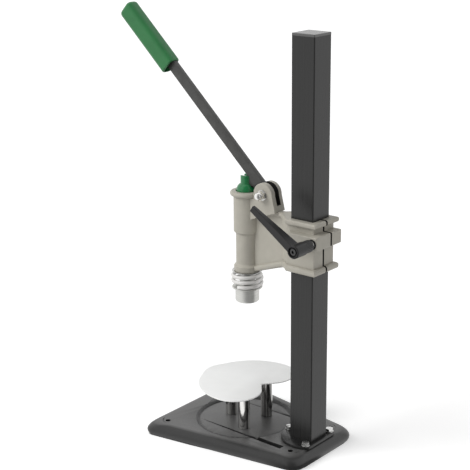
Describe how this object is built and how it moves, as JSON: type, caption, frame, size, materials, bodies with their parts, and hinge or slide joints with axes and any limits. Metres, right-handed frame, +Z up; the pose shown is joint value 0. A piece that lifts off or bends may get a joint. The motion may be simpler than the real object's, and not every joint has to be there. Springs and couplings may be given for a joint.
{
  "type": "manual capping machine",
  "caption": "Bench capping machine: a column on a base plate carries a clamped head whose hand lever presses a spring-loaded capping bell over a bottle plate.",
  "frame": {"origin": "on the bench plane, under the centre of the column", "axes": "+Z up along the column, -Y to the front where the bottle stands, +X to the side of the clamp lever"},
  "size_m": [0.287, 0.5043, 0.8231],
  "materials": {
    "base_paint": "fine textured satin black paint",
    "column_paint": "satin black powder coat",
    "head_paint": "grey-beige hammered paint on a casting",
    "plate_paint": "white powder coat",
    "zinc": "bright zinc plate",
    "black_steel": "black oxide steel",
    "chrome": "polished chrome plate",
    "steel": "bright steel",
    "aluminium": "turned aluminium",
    "bronze": "sintered bronze",
    "green_cap": "glossy green plastic",
    "green_grip": "satin green plastic",
    "black_plastic": "matt black plastic"
  },
  "bodies": {
    "stand": {"base_plate": "base_paint", "column_flange": "column_paint", "column_tube": "column_paint", "column_cap": "black_plastic", "flange_bolts": "zinc", "flange_washers": "zinc", "flange_nuts": "zinc", "bottle_plate": "plate_paint", "post_right": "chrome", "post_left": "chrome", "post_front": "chrome", "plate_studs": "zinc", "post_screws": "zinc"},
    "head": {"head_casting": "head_paint", "guide_bush": "bronze", "pivot_bolt": "zinc", "pivot_washers": "zinc", "pivot_nut": "chrome", "clamp_washer": "black_steel", "clamp_nut": "zinc", "return_spring": "steel"},
    "lever": {"lever_bar": "column_paint", "pivot_bush": "bronze", "lever_grip": "green_grip"},
    "plunger": {"plunger_cap": "green_cap", "plunger_rod": "steel", "bell_washer": "zinc", "cap_magnet": "chrome", "bell_screw": "zinc", "buffer_spring": "chrome"},
    "bell": {"capping_bell": "aluminium", "crimping_ring": "steel"},
    "clamp_spindle": {"clamp_stud": "chrome", "handle_screw": "zinc", "handle_spring": "steel"},
    "clamp_handle": {"clamp_lever": "black_plastic"}
  },
  "joints": [
    {"name": "head_slide", "type": "slide", "parent": "stand", "child": "head", "axis": [0, 0, 1], "range_m": [-0.13, 0.32]},
    {"name": "lever_swing", "type": "hinge", "parent": "head", "child": "lever", "pos_m": [0, -0.0975, 0.492], "axis": [1, 0, 0], "range_deg": [0, 33]},
    {"name": "plunger_slide", "type": "slide", "parent": "head", "child": "plunger", "axis": [0, 0, -1], "range_m": [0, 0.02905], "stiffness_N_per_m": 5000, "springref_m": -0.025, "deforming": ["return_spring"]},
    {"name": "bell_slide", "type": "slide", "parent": "plunger", "child": "bell", "axis": [0, 0, 1], "range_m": [0, 0.0055], "stiffness_N_per_m": 15000, "springref_m": -0.02, "deforming": ["buffer_spring"]},
    {"name": "clamp_turn", "type": "hinge", "parent": "head", "child": "clamp_spindle", "pos_m": [0, 0.038, 0.4296], "axis": [1, 0, 0], "range_deg": [0, 180]},
    {"name": "handle_lift", "type": "slide", "parent": "clamp_spindle", "child": "clamp_handle", "axis": [1, 0, 0], "range_m": [0, 0.004], "stiffness_N_per_m": 800, "springref_m": -0.006, "deforming": ["handle_spring"]}
  ],
  "couplings": [
    {"joint": "plunger_slide", "follows": "lever_swing", "m_per_rad": 0.0503}
  ]
}
